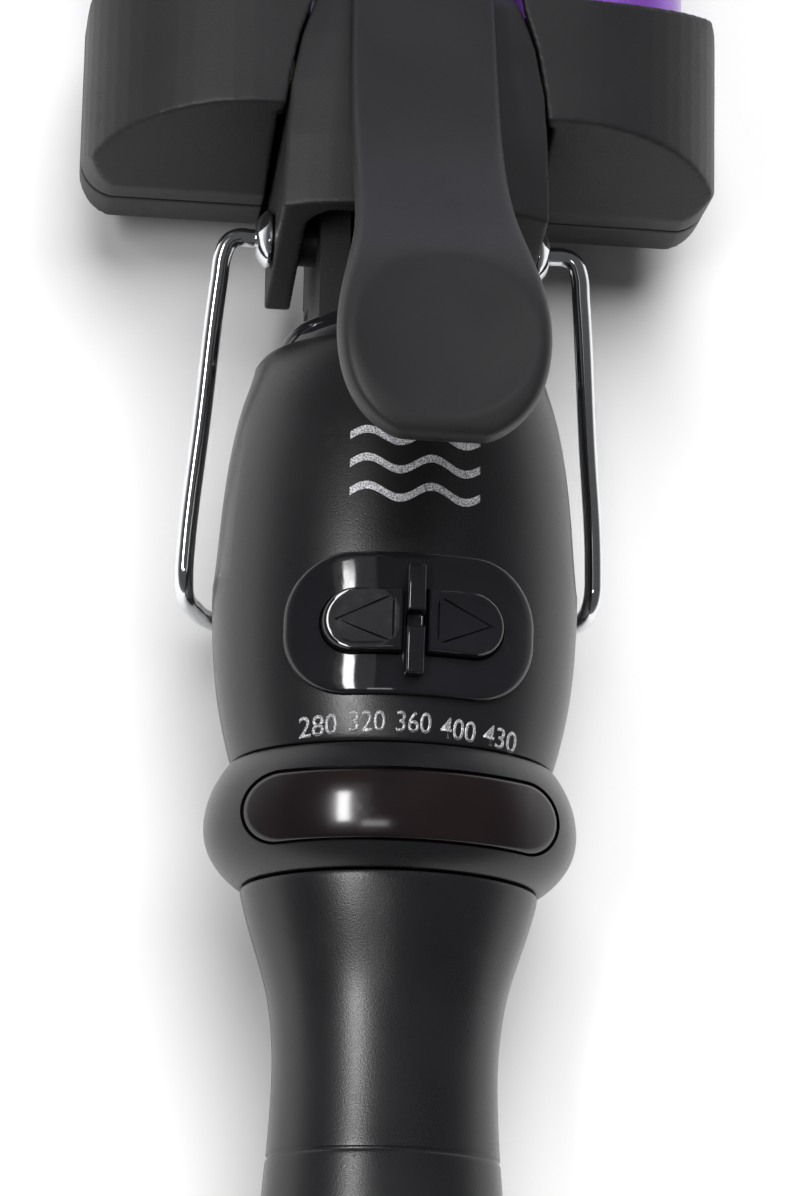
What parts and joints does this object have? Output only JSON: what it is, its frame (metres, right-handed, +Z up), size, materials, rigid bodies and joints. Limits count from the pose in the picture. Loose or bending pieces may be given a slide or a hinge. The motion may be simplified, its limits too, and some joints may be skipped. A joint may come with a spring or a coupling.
{
  "type": "three-barrel hair waver",
  "caption": "Hair waver with parallel heated barrels, a hinged clamp with thumb lever, a two-key control panel and a wire stand.",
  "frame": {"origin": "centre of the cord inlet's mouth, at the rear end of the handle", "axes": "+Y along the barrels towards their tips, +X to the right, +Z up to the thumb lever"},
  "size_m": [0.09, 0.3811, 0.0768],
  "materials": {
    "satin_black_plastic": "satin",
    "gloss_black_plastic": "high gloss",
    "matte_charcoal_plastic": "fine matte texture",
    "black_rubber": "matte",
    "smoke_red_lens": "clear smoked red",
    "wire_chrome": "polished",
    "screw_steel": "plated",
    "contact_brass": "plain",
    "board_green": "solder mask",
    "led_red": "clear red",
    "capacitor_film": "dipped",
    "insulator_tan": "heat-resistant moulding",
    "violet_ceramic_coat": "metallic ceramic coat",
    "heater_ceramic": "sintered",
    "spreader_aluminium": "extruded"
  },
  "bodies": {
    "handle": {"grip_shell_top": "satin_black_plastic", "grip_shell_bottom": "satin_black_plastic", "rear_cap": "satin_black_plastic", "slip_contacts": "contact_brass", "collar_ring": "satin_black_plastic", "display_lens": "smoke_red_lens", "body_shell_top": "satin_black_plastic", "body_shell_bottom": "satin_black_plastic", "case_screws": "screw_steel", "control_panel": "gloss_black_plastic", "circuit_board": "board_green", "tact_switches": "matte_charcoal_plastic", "indicator_leds": "led_red", "triac": "matte_charcoal_plastic", "filter_capacitor": "capacitor_film", "front_cap": "satin_black_plastic", "neck": "satin_black_plastic", "base_bracket": "screw_steel", "neck_screws": "screw_steel", "hinge_tube": "wire_chrome", "hinge_cap_left": "wire_chrome", "hinge_cap_right": "wire_chrome", "base_cover_left": "matte_charcoal_plastic", "base_cover_right": "matte_charcoal_plastic", "base_cover_bottom": "matte_charcoal_plastic", "base_screws": "screw_steel", "barrel_holder_left": "insulator_tan", "barrel_holder_right": "insulator_tan", "barrel_left": "violet_ceramic_coat", "barrel_right": "violet_ceramic_coat", "heater_left": "heater_ceramic", "heater_right": "heater_ceramic", "spreader_left": "spreader_aluminium", "spreader_right": "spreader_aluminium", "tip_cap_left": "satin_black_plastic", "tip_cap_right": "satin_black_plastic", "temperature_sensor": "insulator_tan", "thermal_fuse": "heater_ceramic"},
    "clamp": {"clamp_hood": "matte_charcoal_plastic", "thumb_lever": "matte_charcoal_plastic", "lever_screws": "screw_steel", "barrel_holder_center": "insulator_tan", "barrel_center": "violet_ceramic_coat", "heater_center": "heater_ceramic", "spreader_center": "spreader_aluminium", "tip_cap_center": "satin_black_plastic", "torsion_spring": "screw_steel"},
    "stand": {"stand_wire": "wire_chrome"},
    "key_down": {"button_down": "gloss_black_plastic"},
    "key_up": {"button_up": "gloss_black_plastic"},
    "swivel": {"cord_swivel": "black_rubber"}
  },
  "joints": [
    {"name": "clamp_hinge", "type": "hinge", "parent": "handle", "child": "clamp", "pos_m": [0, 0.21, 0], "axis": [1, 0, 0], "range_deg": [0, 20], "stiffness_Nm_per_rad": 0.6, "springref_deg": -20.05, "deforming": ["torsion_spring"]},
    {"name": "stand_hinge", "type": "hinge", "parent": "handle", "child": "stand", "pos_m": [0, 0.21, 0], "axis": [1, 0, 0], "range_deg": [0, 85]},
    {"name": "key_down_press", "type": "slide", "parent": "handle", "child": "key_down", "axis": [0, 0, -1], "range_m": [0, 0.0008], "stiffness_N_per_m": 400, "springref_m": -0.001},
    {"name": "key_up_press", "type": "slide", "parent": "handle", "child": "key_up", "axis": [0, 0, -1], "range_m": [0, 0.0008], "stiffness_N_per_m": 400, "springref_m": -0.001},
    {"name": "cord_swivel_turn", "type": "hinge", "parent": "handle", "child": "swivel", "pos_m": [0, 0, 0], "axis": [0, 1, 0], "continuous": true}
  ]
}
